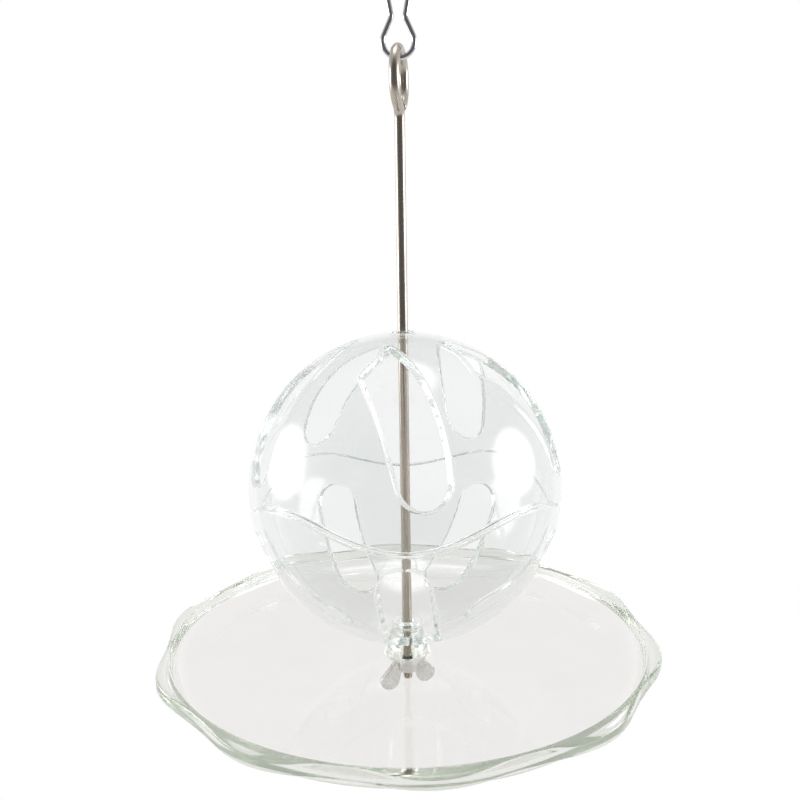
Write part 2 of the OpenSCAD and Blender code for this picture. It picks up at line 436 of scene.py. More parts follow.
def rounded(corners: Sequence[Corner], steps: int) -> list[Vector]:
    """Turn the inner corners of a line into arcs.

    Args:
        corners: Corners as X, Y and radius, where no radius leaves the corner sharp.
        steps: Steps of each arc.

    Returns:
        The points of the rounded line.
    """
    line: list[Vector] = []
    for i, (x, y, radius) in enumerate(corners):
        here = Vector((x, y))
        if radius <= 0:
            line.append(here)
            continue
        back = (Vector(corners[i - 1][:2]) - here).normalized()
        ahead = (Vector(corners[(i + 1) % len(corners)][:2]) - here).normalized()
        half = back.angle(ahead) / 2
        centre = here + (back + ahead).normalized() * (radius / math.sin(half))
        start = here + back * (radius / math.tan(half)) - centre
        stop = here + ahead * (radius / math.tan(half)) - centre
        line.extend(centre + start.lerp(stop, k / steps).normalized() * radius for k in range(steps + 1))
    return line


def even(outline: Sequence[Vector], step: float) -> np.ndarray:
    """Walk round a closed outline in even steps.

    Args:
        outline: Points of the outline.
        step: Wanted length of a step.

    Returns:
        The new points, one in a row.
    """
    ring = np.array([tuple(p) for p in outline] + [tuple(outline[0])])
    way = np.concatenate([[0.0], np.cumsum(np.linalg.norm(np.diff(ring, axis=0), axis=1))])
    at = np.linspace(0.0, way[-1], max(8, round(way[-1] / step)), endpoint=False)
    return np.stack([np.interp(at, way, ring[:, k]) for k in (0, 1)], axis=1)


def eased(outline: Sequence[Vector], ease: float, step: float) -> list[Vector]:
    """Ease the corners of a closed outline and walk round it in even steps.

    Args:
        outline: Points of the outline.
        ease: Length over which a corner is eased.
        step: Length of a step in the result.

    Returns:
        The points of the eased outline.
    """
    fine = 0.1
    points = even(outline, fine)
    width = max(1, round(ease / fine))
    for _ in range(2):
        points = sum(np.roll(points, k - width // 2, axis=0) for k in range(width)) / width
    return [Vector(p) for p in even([Vector(p) for p in points], step)]


def outward(outline: Sequence[Vector]) -> list[Vector]:
    """Give the direction out of a closed outline at each of its points.

    Args:
        outline: Points of the outline, in the order in which it is walked to the left.

    Returns:
        The directions.
    """
    count = len(outline)
    along = [(outline[(i + 1) % count] - outline[i - 1]).normalized() for i in range(count)]
    return [Vector((a.y, -a.x)) for a in along]


def inside(outline: np.ndarray, points: np.ndarray) -> np.ndarray:
    """Tell which points lie in an outline.

    Args:
        outline: Corners of the outline.
        points: Points to test.

    Returns:
        True for each point that lies in it.
    """
    found = np.zeros(len(points), dtype=bool)
    x, y = points[:, 0], points[:, 1]
    for (ax, ay), (bx, by) in zip(outline, np.roll(outline, -1, axis=0)):
        if ay != by:
            found ^= ((ay > y) != (by > y)) & (x < (bx - ax) * (y - ay) / (by - ay) + ax)
    return found


@dataclass
class Draft:
    """A mesh under construction, in millimetres.

    Attributes:
        points: Places of the vertices.
        faces: Vertex numbers of each face.
        normals: Shading normals that are known exactly, by vertex number.
        places: Places of the vertices along and round a straightened wire.
        frosted: Vertex numbers on cut edges of clear plastic, which get frost and the edge colour; on the
            ball
        that colour is a painted highlight.
        FROST: Name of the mesh attribute that marks the frosted vertices.
    """

    FROST = "edge_frost"

    points: list[Vector] = field(default_factory=list)
    faces: list[tuple[int, ...]] = field(default_factory=list)
    normals: dict[int, Vector] = field(default_factory=dict)
    places: list[Vector] = field(default_factory=list)
    frosted: set[int] = field(default_factory=set)

    def loop(self, points: Iterable[Vector]) -> list[int]:
        """Add the points of a loop.

        Args:
            points: Places of the points.

        Returns:
            Their vertex numbers.
        """
        first = len(self.points)
        self.points.extend(points)
        return list(range(first, len(self.points)))

    def strips(self, loops: Sequence[list[int]], round_again: bool = False) -> None:
        """Join loops of equal length by quads.

        Args:
            loops: Vertex numbers of the loops, in order.
            round_again: Whether the last loop joins the first.
        """
        pairs = list(zip(loops, loops[1:])) + ([(loops[-1], loops[0])] if round_again else [])
        for one, two in pairs:
            for i in range(len(one)):
                j = (i + 1) % len(one)
                self.faces.append((one[i], one[j], two[j], two[i]))

    def cap(self, loop: Sequence[int]) -> None:
        """Close a loop with one face."""
        self.faces.append(tuple(loop))

    def lathe(self, profile: Sequence[Vector], sides: int, closed: bool) -> list[list[int]]:
        """Turn a profile about the Z axis.

        Args:
            profile: Points as distance from the axis and height.
            sides: Number of steps round the axis.
            closed: Whether the profile's end joins its start.

        Returns:
            Vertex numbers of the loop of each profile point.
        """
        turns = [(math.cos(a), math.sin(a)) for a in around(sides)]
        loops = [self.loop(Vector((p.x * x, p.x * y, p.y)) for x, y in turns) for p in profile]
        self.strips(loops, closed)
        return loops

    def build(self, name: str, body: str, slot: Slot, material: bpy.types.Material, *nodes: str) -> None:
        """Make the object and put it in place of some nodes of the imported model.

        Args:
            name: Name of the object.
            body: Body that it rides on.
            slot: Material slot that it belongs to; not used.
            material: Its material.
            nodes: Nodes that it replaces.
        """
        mesh = bpy.data.meshes.new(name)
        mesh.from_pydata([p * MM for p in self.points], [], self.faces)
        shape = bmesh.new()
        shape.from_mesh(mesh)
        bmesh.ops.recalc_face_normals(shape, faces=shape.faces)
        shape.to_mesh(mesh)
        shape.free()
        mesh.shade_smooth()
        if self.normals:
            normals = [v.normal.copy() for v in mesh.vertices]
            for number, normal in self.normals.items():
                normals[number] = normal
            mesh.normals_split_custom_set_from_vertices(normals)
        if self.places:
            spread = [c for p in self.places for c in p * MM]
            mesh.attributes.new(Wire.PLACE, "FLOAT_VECTOR", "POINT").data.foreach_set("vector", spread)
        if self.frosted:
            frost = [float(i in self.frosted) for i in range(len(self.points))]
            mesh.attributes.new(self.FROST, "FLOAT", "POINT").data.foreach_set("value", frost)
        mesh.materials.append(material)
        piece = bpy.data.objects.new(name, mesh)
        bpy.context.scene.collection.objects.link(piece)
        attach(piece, body)
        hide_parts(*nodes)
        LOG.info("%s: %d vertices, %d faces", name, len(mesh.vertices), len(mesh.polygons))


@dataclass(frozen=True)
class Heights:
    """Heights of the pieces in the fixed frame.

    Attributes:
        eye_top: Top of the rod's eye.
        ball: Middle of the ball.
        lip: Top of the tray's lip.
        base: Underside of the tray.
        washer: Underside of the washer.
        rod_low: Lower end of the rod.
    """

    eye_top: float
    ball: float
    lip: float
    base: float
    washer: float
    rod_low: float

    @classmethod
    def read(cls, ball_r: float) -> "Heights":
        """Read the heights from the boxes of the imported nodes.

        Args:
            ball_r: Radius of the ball, which stands on the plane of the tray's lip.

        Returns:
            The heights.
        """
        tray_low, tray_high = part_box("tray")
        rod_low, rod_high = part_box("eye_rod")
        washer_low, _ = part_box("washer")
        lip = tray_high.z / MM
        return cls(rod_high.z / MM, lip + ball_r, lip, tray_low.z / MM, washer_low.z / MM, rod_low.z / MM)


@dataclass
class Wire:
    """A bent wire with eased ends.

    Attributes:
        thick: Thickness of the wire.
        sides: Steps round the wire.
        ease: Length of the eased ends.
        PLACE: Name of the mesh attribute that holds the vertices' places on the straightened wire.
    """

    PLACE = "wire_place"

    thick: float
    sides: int = 28
    ease: float = 0.35

    def end(self, tip: Vector, ahead: Vector, out: int) -> list[tuple[Vector, Vector, float]]:
        """Give the stations of one eased end.

        Args:
            tip: End of the middle line.
            ahead: Direction of the wire there.
            out: One where the wire's direction leads out of the end, minus one where it leads in.

        Returns:
            Place, direction and radius of each station, in the order of the path.
        """
        stations = [(tip - out * self.ease * (1 - math.sin(a)) * ahead, ahead,
                     self.thick / 2 - self.ease * (1 - math.cos(a))) for a in quarter(3)]
        return stations[::out]

    def sweep(self, draft: Draft, path: Sequence[Vector], side: Vector,
              closed: tuple[bool, bool]) -> list[list[int]]:
        """Sweep the wire's round section along a path.

        Args:
            draft: Mesh that takes the wire.
            path: Points of the middle line.
            side: Normal of the plane in which the path lies.
            closed: Whether the first and the last end are eased and closed.

        Returns:
            Vertex numbers of the loops.
        """
        last = len(path) - 1
        rows = [(path[i], (path[min(i + 1, last)] - path[max(i - 1, 0)]).normalized(), self.thick / 2)
                for i in range(last + 1)]
        if closed[0]:
            rows[:1] = self.end(*rows[0][:2], -1)
        if closed[1]:
            rows[-1:] = self.end(*rows[-1][:2], 1)
        travelled = 0.0
        loops = []
        for i, (here, ahead, size) in enumerate(rows):
            travelled += (here - rows[i - 1][0]).length if i else 0.0
            across = side.cross(ahead)
            ring = [(size * math.cos(a), size * math.sin(a)) for a in around(self.sides)]
            loops.append(draft.loop(here + x * across + y * side for x, y in ring))
            draft.places.extend(Vector((x, y, travelled)) for x, y in ring)
        draft.strips(loops)
        if closed[0]:
            draft.cap(loops[0])
        if closed[1]:
            draft.cap(loops[-1])
        return loops


@dataclass
class Hook:
    """Plated wire hook: a loop above, a waist and a small bulb below.

    Attributes:
        wire: Thickness of the wire.
        loop_r: Middle radius of the loop.
        bulb_r: Middle radius of the bulb.
        waist: Half of the distance between the wires at the waist.
        upper_lean: Lean of the wires above the waist, in degrees.
        lower_lean: Lean of the wires below the waist, in degrees.
        bend_r: Bend radius at the waist.
        opening: Opening in the loop.
    """

    wire: float = 1.6
    loop_r: float = 9.0
    bulb_r: float = 4.7
    waist: float = 2.0
    upper_lean: float = 10.6
    lower_lean: float = 25.0
    bend_r: float = 2.5
    opening: float = 1.0

    def path(self) -> list[Vector]:
        """Give the wire's middle line.

        Returns:
            Points in the XZ plane, from the open end of the loop round to the other end.
        """
        upper, lower = math.radians(self.upper_lean), math.radians(self.lower_lean)
        waist_z = -(self.loop_r / math.cos(upper) - self.waist) / math.tan(upper)
        bulb_z = waist_z - (self.bulb_r - self.waist * math.cos(lower)) / math.sin(lower)
        gap = math.degrees(math.asin(self.opening / self.loop_r))
        top = (self.loop_r * math.cos(upper), -self.loop_r * math.sin(upper))
        low = (self.bulb_r * math.cos(lower), bulb_z + self.bulb_r * math.sin(lower))
        side = rounded([(*top, 0.0), (self.waist, waist_z, self.bend_r), (*low, 0.0)], steps=10)
        loop = arc((0.0, 0.0), self.loop_r, 180 + self.upper_lean - gap, -self.upper_lean, steps=48)
        bulb = arc((0.0, bulb_z), self.bulb_r, self.lower_lean, -180 - self.lower_lean)
        far_side = [Vector((-p.x, p.y)) for p in reversed(side)]
        return [Vector((p.x, 0.0, p.y)) for p in loop + side[1:-1] + bulb + far_side[1:]]

    def build(self, finish: DrawnWire) -> None:
        """Build the hook.

        Args:
            finish: Finish of the wire.
        """
        draft = Draft()
        Wire(self.wire).sweep(draft, self.path(), Vector((0.0, 1.0, 0.0)), (True, True))
        draft.build("hook_wire_bent", "hook", Slot.HOOK, finish.material(), "hanger_hook")


@dataclass
class EyeRod:
    """Steel rod with an eye above and a thread below.

    Attributes:
        heights: Heights of the pieces.
        thick: Thickness of the rod, a hairline under its stock size.
        stock_r: Radius of the stock from which the eye is bent.
        ease: Length of the eased free end.
        sides: Steps round the rod.
        eye_r: Middle radius of the eye.
        neck_r: Bend radius of the neck.
        neck_line: Straight between the eye and the neck.
        eye_turn: Turn of the eye about the rod, in degrees.
        eye_end: Free end to the neck, as an angle of the eye.
        thread_r: Radius over the thread.
        thread_deep: Depth of the thread.
        pitch: Pitch of the thread.
        flank: Steepness of the thread's flanks.
        root: Share of a flank that the flat root takes.
        fade: Length over which the thread fades at the rod's end, in pitches.
        left: Share of the thread that is left at the very end.
        thread_rows: Steps down the rod in one pitch.
        thread_place: Place along the wire from which the thread's finish is read.
    """

    heights: Heights
    thick: float = 3.16
    stock_r: float = 1.6
    ease: float = 0.4
    sides: int = 40
    eye_r: float = 8.4
    neck_r: float = 4.0
    neck_line: float = 1.0
    eye_turn: float = 10.0
    eye_end: float = 17.0
    thread_r: float = 1.5
    thread_deep: float = 0.26
    pitch: float = 0.5
    flank: float = 1.25
    root: float = 0.1
    fade: float = 0.8
    left: float = 0.1
    thread_rows: int = 8
    thread_place: float = 500.0

    @property
    def turn(self) -> Matrix:
        """Give the turn that lays the XZ plane into the eye's plane."""
        return Matrix.Rotation(math.radians(-90 - self.eye_turn), 3, "Z")

    def path(self) -> list[Vector]:
        """Give the rod's middle line.

        Returns:
            Points from the free end of the eye down to the thread.
        """
        eye_z = self.heights.eye_top - self.stock_r - self.eye_r
        reach = self.eye_r + self.neck_r
        angle = math.asin(self.neck_r / math.hypot(reach, self.neck_line))
        angle += math.atan(self.neck_line / reach)
        neck_z = eye_z - reach * math.cos(angle) - self.neck_line * math.sin(angle)
        lean = math.degrees(angle)
        flat = arc((0.0, eye_z), self.eye_r, 270 - self.eye_end, lean - 90, steps=60)
        flat += arc((self.neck_r, neck_z), self.neck_r, 90 + lean, 180, steps=12)
        flat += [Vector((0.0, float(z))) for z in np.linspace(neck_z, self.heights.washer, 61)[1:]]
        return [self.turn @ Vector((p.x, 0.0, p.y)) for p in flat]

    def thread(self, draft: Draft, side: Vector) -> list[list[int]]:
        """Add the loops of the thread.

        Args:
            draft: Mesh that takes the thread.
            side: Direction of a quarter turn round the rod.

        Returns:
            Vertex numbers of the loops, from the top.
        """
        across = side.cross(-UP)
        length = self.heights.washer - self.heights.rod_low
        rows = self.thread_rows * round(length / self.pitch)
        loops = []
        for row in range(rows + 1):
            down = length * row / rows
            run_out = (length - down) / (self.fade * self.pitch) + self.left
            full = min(1.0, down / self.pitch, run_out)
            ring = []
            for a in around(self.sides):
                tooth = abs(2 * ((down / self.pitch + a / (2 * math.pi)) % 1.0) - 1)
                crest = min(1.0, max(0.0, self.flank * tooth - self.root))
                size = self.thread_r - self.thread_deep * (1 - crest * full)
                x, y = size * math.cos(a), size * math.sin(a)
                ring.append(UP * (self.heights.washer - down) + x * across + y * side)
                draft.places.append(Vector((x, y, self.thread_place + down)))
            loops.append(draft.loop(ring))
        return loops

    def build(self, finish: DrawnWire) -> None:
        """Build the rod.

        Args:
            finish: Finish of the rod.
        """
        draft = Draft()
        side = self.turn @ Vector((0.0, 1.0, 0.0))
        loops = Wire(self.thick, self.sides, self.ease).sweep(draft, self.path(), side, (True, False))
        thread = self.thread(draft, side)
        draft.strips([loops[-1]] + thread)
        draft.cap(thread[-1])
        draft.build("rod_with_eye", "rod", Slot.ROD, finish.material(), "eye_rod")


@dataclass
class Cut:
    """An opening through the ball's wall, square to a direction from the ball's middle.

    Attributes:
        climb: Rise of the direction above the horizontal, in degrees.
        outline: Outline of the opening across that direction.
    """

    climb: float
    outline: list[Vector]

    def shares(self, taper: float) -> list[float]:
        """Give the share of a taper that each point takes.

        Args:
            taper: The whole taper.

        Returns:
            Shares up to one, less at tight corners so that no side crosses itself.
        """
        reach = range(-3, 4)

        def spread(rows: Sequence[Vector]) -> np.ndarray:
            """Give the distance between the neighbours of each row."""
            plain = np.array([tuple(r) for r in rows])
            return np.linalg.norm(np.roll(plain, -1, axis=0) - np.roll(plain, 1, axis=0), axis=1)

        bend_r = spread(self.outline) / np.maximum(spread(outward(self.outline)), 1e-6)
        share = np.minimum(1.0, bend_r / (2 * taper))
        least = np.min([np.roll(share, k) for k in reach], axis=0)
        return np.mean([np.roll(least, k) for k in reach], axis=0).tolist()

    def loops(self, draft: Draft, turn: float, outer: tuple[float, float], inner: tuple[float, float],
              taper: float, steps: int) -> list[list[int]]:
        """Add the loops of the opening's rounded edges.

        Args:
            draft: Mesh that takes the loops.
            turn: Turn of the opening about the rod, in degrees.
            outer: Outer radius of the wall, and radius of the rounded edge there.
            inner: Inner radius of the wall, and radius of the rounded edge there.
            taper: How much nearer the opening's sides come on their way in, on each side.
            steps: Steps of each rounding.

        Returns:
            Vertex numbers of the loops, from the outer surface to the inner one.
        """
        tilt = Matrix.Rotation(math.radians(90 - self.climb), 3, "X")
        placed = Matrix.Rotation(math.radians(turn), 3, "Z") @ tilt
        (out_r, out_edge), (in_r, in_edge), angles = outer, inner, quarter(steps)
        rows = [(out_edge * (1 - math.sin(a)), 0.0, out_r - out_edge * (1 - math.cos(a))) for a in angles]
        rows += [(in_edge * (1 - math.cos(a)), taper, in_r + in_edge * (1 - math.sin(a))) for a in angles]
        away, shares = outward(self.outline), self.shares(taper)
        loops = []
        for offset, inset, radius in rows:
            flat = [p + (offset - inset * s) * n for p, n, s in zip(self.outline, away, shares)]
            loops.append(draft.loop(
                placed @ Vector((p.x, p.y, math.sqrt(radius ** 2 - p.length_squared))) for p in flat))
        draft.strips(loops)
        # The opening's rounded edges get frost and the painted highlight of the ball's untinted edge colour.
        draft.frosted.update(i for loop in loops[2:-1] for i in loop)
        return loops


@dataclass
class CurvedSlot:
    """Slot of the upper half: a round foot, a long curved edge and a narrow blunt tip.

    Attributes:
        climb: Rise of the slot's direction above the horizontal, in degrees.
        low: Rise of its lowest point, in degrees.
        high: Rise of its highest point, in degrees.
        foot_x: Foot to the right of the direction.
        foot_r: Radius of the foot.
        lean: Angle at which the foot runs into the long edge.
        edge_r: Radius of the long edge.
        corner: Corner of the straight edge, to the right of the direction and as a rise in degrees.
        shoulder: Shoulder under the tip, in the same way.
        ease: Length over which the corners are eased.
    """

    climb: float = 45.0
    low: float = 8.1
    high: float = 74.2
    foot_x: float = 4.7
    foot_r: float = 7.8
    lean: float = 3.9
    edge_r: float = 83.0
    corner: tuple[float, float] = (-12.7, 56.0)
    shoulder: tuple[float, float] = (-6.9, 65.6)
    ease: float = 1.3

    def cut(self, ball_r: float, step: float) -> Cut:
        """Give the slot's cut.

        Args:
            ball_r: Outer radius of the ball.
            step: Length of the steps along the outline.

        Returns:
            The cut.
        """
        def on_ball(x: float, rise: float) -> Vector:
            """Lay a point of the ball, by its place to the right and its rise, into the cut's plane."""
            return Vector((x, ball_r * math.sin(math.radians(rise - self.climb))))

        foot = on_ball(self.foot_x, self.low) + Vector((0.0, self.foot_r))
        corner, shoulder = on_ball(*self.corner), on_ball(*self.shoulder)
        lean = math.radians(self.lean)
        edge_at = foot - (self.edge_r - self.foot_r) * Vector((math.cos(lean), math.sin(lean)))
        tip = math.degrees(math.asin((on_ball(0.0, self.high).y - edge_at.y) / self.edge_r))
        away = corner - foot
        touch = math.degrees(math.atan2(away.y, away.x) + math.acos(self.foot_r / away.length))
        outline = arc(foot, self.foot_r, touch - 360, self.lean) + arc(edge_at, self.edge_r, self.lean, tip)
        return Cut(self.climb, eased(outline + [shoulder, corner], self.ease, step))


@dataclass
class RoundPort:
    """Port of the lower half, with two round ends.

    Attributes:
        drop: Drop of the port's direction below the horizontal, in degrees.
        high: Drop of its highest point, in degrees.
        end_x: Upper end to the right of the direction.
        end_r: Radius of the ends.
        length: Distance between the ends' middles.
        lean: Lean of the port, in degrees.
        ease: Length over which the outline is eased.
    """

    drop: float = 45.0
    high: float = 12.6
    end_x: float = -0.9
    end_r: float = 7.9
    length: float = 28.0
    lean: float = 5.6
    ease: float = 0.8

    def cut(self, ball_r: float, step: float) -> Cut:
        """Give the port's cut.

        Args:
            ball_r: Outer radius of the ball.
            step: Length of the steps along the outline.

        Returns:
            The cut.
        """
        top = Vector((self.end_x, ball_r * math.sin(math.radians(self.drop - self.high)) - self.end_r))
        turn = Matrix.Rotation(math.radians(self.lean), 2)
        outline = arc((0.0, 0.0), self.end_r, 0, 180) + arc((0.0, -self.length), self.end_r, 180, 360)
        return Cut(-self.drop, eased([top + turn @ p for p in outline], self.ease, step))


@dataclass
class Ball:
    """Clear ball in two halves that meet at a waved seam, with slots above and ports below.

    Attributes:
        heights: Heights of the pieces.
        slot: Slots of the upper half.
        port: Ports of the lower half.
        openings: Number of slots, and of ports.
        radius: Outer radius.
        wall: Thickness of the wall.
        hole_r: Radius of the rod holes.
        boss_r: Radius of the boss on the upper half.
        boss_out: Height of that boss above the ball.
        boss_in: Reach of the bosses into the ball.
        boss_edges: Radii at that boss's foot and end.
        foot_r: Radius of the flat foot of the lower half.
        foot_edges: Radii at that foot's side and end.
        hole_edge: Radius of the rounded edges of holes and bosses.
        fillet: Radius between the bosses and the inner surface.
        seam_drop: Seam below the middle.
        seam_wave: Rise and fall of the seam.
        seam_waves: Number of its waves.
        seam_gap: Gap between the halves.
        seam_edge: Radius of the halves' rounded outer edges at the seam.
        lip_h: Height of the lower half's lip.
        lip_t: Thickness of the lip.
        lip_edge: Radius of the lip's edges.
        edge: Radius of the rounded outer edges of slots and ports.
        inner_edge: Radius of their inner edges.
        taper: How much nearer their sides come on their way in, on each side.
        run: Plain surface beside an outer edge.
        inner_run: Plain surface beside an inner edge of the seam.
        step: Length of the steps along the openings.
        grain: Size of the triangles on the plain surfaces.
        seam_steps: Steps along the seam.
        hole_steps: Steps round the rod holes.
        ROW: Height of a row of those triangles, in their sides.
        RIM_GAP: Least distance of their corners from a rim, in their sides.
    """

    ROW = 0.866
    RIM_GAP = 0.55

    heights: Heights
    slot: CurvedSlot = field(default_factory=CurvedSlot)
    port: RoundPort = field(default_factory=RoundPort)
    openings: int = 5
    radius: float = 50.0
    wall: float = 2.5
    hole_r: float = 2.1
    boss_r: float = 3.5
    boss_out: float = 0.4
    boss_in: float = 1.2
    boss_edges: tuple[float, float] = (0.2, 0.2)
    foot_r: float = 5.0
    foot_edges: tuple[float, float] = (0.08, 0.12)
    hole_edge: float = 0.3
    fillet: float = 0.25
    seam_drop: float = 1.9
    seam_wave: float = 4.1
    seam_waves: int = 4
    seam_gap: float = 0.3
    seam_edge: float = 0.5
    lip_h: float = 0.8
    lip_t: float = 1.1
    lip_edge: float = 0.15
    edge: float = 1.0
    inner_edge: float = 0.4
    taper: float = 1.0
    run: float = 0.7
    inner_run: float = 0.3
    step: float = 0.8
    grain: float = 1.0
    seam_steps: int = 384
    hole_steps: int = 72

    @property
    def inner(self) -> float:
        """Give the inner radius."""
        return self.radius - self.wall

    def section(self, half: Half) -> list[Corner]:
        """Give the section of one half's edge at the seam.

        Args:
            half: Which half.

        Returns:
            Corners as distance from the ball's middle, height over the seam and corner radius.
        """
        outer, inner, lip, top = self.radius, self.inner, self.inner + self.lip_t, self.lip_h
        if half is Half.LOWER:
            return [(outer, -self.run, 0.0), (outer, 0.0, self.seam_edge), (lip, 0.0, 0.0),
                    (lip, top, self.lip_edge), (inner, top, self.lip_edge), (inner, -self.inner_run, 0.0)]
        gap, rebate = self.seam_gap, lip + self.seam_gap
        return [(outer, gap + self.run, 0.0), (outer, gap, self.seam_edge), (rebate, gap, self.lip_edge),
                (rebate, gap + top, 0.0), (inner, gap + top, self.lip_edge),
                (inner, gap + top + self.inner_run, 0.0)]

    def pole(self, half: Half) -> list[Corner]:
        """Give the profile round one half's rod hole.

        Args:
            half: Which half.

        Returns:
            Corners as distance from the rod, height and corner radius.
        """
        def on(radius: float, flat: float) -> float:
            """Give the height of a sphere at a distance from the rod."""
            return math.sqrt(radius ** 2 - flat ** 2)

        outer, inner, hole, floor = self.radius, self.inner, self.hole_r, self.inner - self.boss_in
        reach, end, edges = self.foot_r, outer, self.foot_edges
        if half is Half.UPPER:
            reach, end, edges = self.boss_r, outer + self.boss_out, self.boss_edges
        past = reach + self.run
        corners = [(past, on(outer, past), 0.0), (reach, on(outer, reach), edges[0]), (reach, end, edges[1]),
                   (hole, end, self.hole_edge), (hole, floor, self.hole_edge),
                   (reach, floor, self.hole_edge), (reach, on(inner, reach), self.fillet),
                   (past, on(inner, past), 0.0)]
        return [(flat, half.value * height, radius) for flat, height, radius in corners]

    def seam(self, draft: Draft, half: Half) -> list[list[int]]:
        """Add the loops of one half's edge at the seam.

        Args:
            draft: Mesh that takes the loops.
            half: Which half.

        Returns:
            Vertex numbers of the loops, from the outer surface to the inner one.
        """
        loops = []
        for point in rounded(self.section(half), steps=4):
            ring = []
            for a in around(self.seam_steps):
                z = -self.seam_drop - self.seam_wave * math.cos(self.seam_waves * a) + point.y
                flat = math.sqrt(point.x ** 2 - z ** 2)
                ring.append(Vector((flat * math.cos(a), flat * math.sin(a), z)))
            loops.append(draft.loop(ring))
        draft.strips(loops)
        # The seam's edges get frost and the painted highlight of the untinted edge colour.
        draft.frosted.update(i for loop in loops[2:-2] for i in loop)
        return loops

    def fill(self, draft: Draft, radius: float, half: Half, rims: Sequence[list[int]],
             facing: float) -> None:
        """Fill a part of a sphere between its rims with near-even triangles.

        Args:
            draft: Mesh that takes the triangles.
            radius: Radius of the sphere.
            half: Side on which the pole lies.
            rims: Vertex numbers of the seam's loop and then of the openings' loops.
            facing: One where the surface faces away from the middle, minus one where it faces it.
        """
        def unrolled(point: Vector) -> tuple[float, float]:
            """Lay a point of the sphere flat about the pole.

            Args:
                point: The point.

            Returns:
                Its place in the plane, with its angle from the pole as distance.
            """
            down = math.acos(max(-1.0, min(1.0, half.value * point.z / point.length)))
            turn = math.atan2(point.y, point.x)
            return down * math.cos(turn), down * math.sin(turn)

        def wanted(points: np.ndarray) -> np.ndarray:
            """Tell which flat points lie on the wall.

            Args:
                points: The points.

            Returns:
                True for each point within the seam and outside all openings.
            """
            keep = inside(flats[0], points)
            for hole in flats[1:]:
                keep &= ~inside(hole, points)
            return keep

        flats = [np.array([unrolled(draft.points[i]) for i in rim]) for rim in rims]
        border = np.vstack(flats)
        pitch = self.grain / radius
        count = int(np.abs(border).max() / (pitch * self.ROW)) + 2
        span = range(-count, count + 1)
        grid = np.array([((c + 0.5 * (r % 2)) * pitch, r * pitch * self.ROW) for r in span for c in span])
        grid = grid[wanted(grid)]
        clear = np.min(np.linalg.norm(grid[:, None, :] - border[None, :, :], axis=2), axis=1)
        grid = grid[clear > self.RIM_GAP * pitch]
        edges, first = [], 0
        for rim in rims:
            edges += [(first + i, first + (i + 1) % len(rim)) for i in range(len(rim))]
            first += len(rim)
        fresh = []
        for u, v in grid:
            down = math.hypot(u, v)
            lift = math.sin(down) / down if down else 1.0
            fresh.append(radius * Vector((lift * u, lift * v, half.value * math.cos(down))))
        numbers = [i for rim in rims for i in rim] + draft.loop(fresh)
        places, _, faces, origins, _, _ = delaunay_2d_cdt(
            [Vector(p) for p in np.vstack([border, grid])], edges, [], 0, 1e-9)
        middles = np.array([sum((places[i] for i in f), Vector((0.0, 0.0))) / len(f) for f in faces])
        for face, keep in zip(faces, wanted(middles)):
            if keep:
                draft.faces.append(tuple(numbers[origins[i][0]] for i in face))
        for number in numbers:
            draft.normals[number] = draft.points[number].normalized() * facing

    def half(self, half: Half, cut: Cut) -> Draft:
        """Build one half of the ball about the ball's middle and lift it to its place.

        Args:
            half: Which half.
            cut: Its openings.

        Returns:
            The mesh of the half.
        """
        draft = Draft()
        pole = rounded(self.pole(half), steps=4)
        rows = [self.seam(draft, half), draft.lathe(pole, self.hole_steps, False)]
        for i in range(self.openings):
            rows.append(cut.loops(draft, 360 * i / self.openings, (self.radius, self.edge),
                                  (self.inner, self.inner_edge), self.taper, steps=5))
        self.fill(draft, self.radius, half, [loops[0] for loops in rows], 1.0)
        self.fill(draft, self.inner, half, [loops[-1] for loops in rows], -1.0)
        draft.points = [p + UP * self.heights.ball for p in draft.points]
        return draft

    def build(self, finish: ClearPlastic) -> None:
        """Build both halves.

        Args:
            finish: Finish of the plastic.
        """
        material = finish.material()
        for half, opening in ((Half.UPPER, self.slot), (Half.LOWER, self.port)):
            node = f"{half.name.lower()}_shell"
            draft = self.half(half, opening.cut(self.radius, self.step))
            draft.build(f"clear_{node}", node, Slot.BALL, material, node)


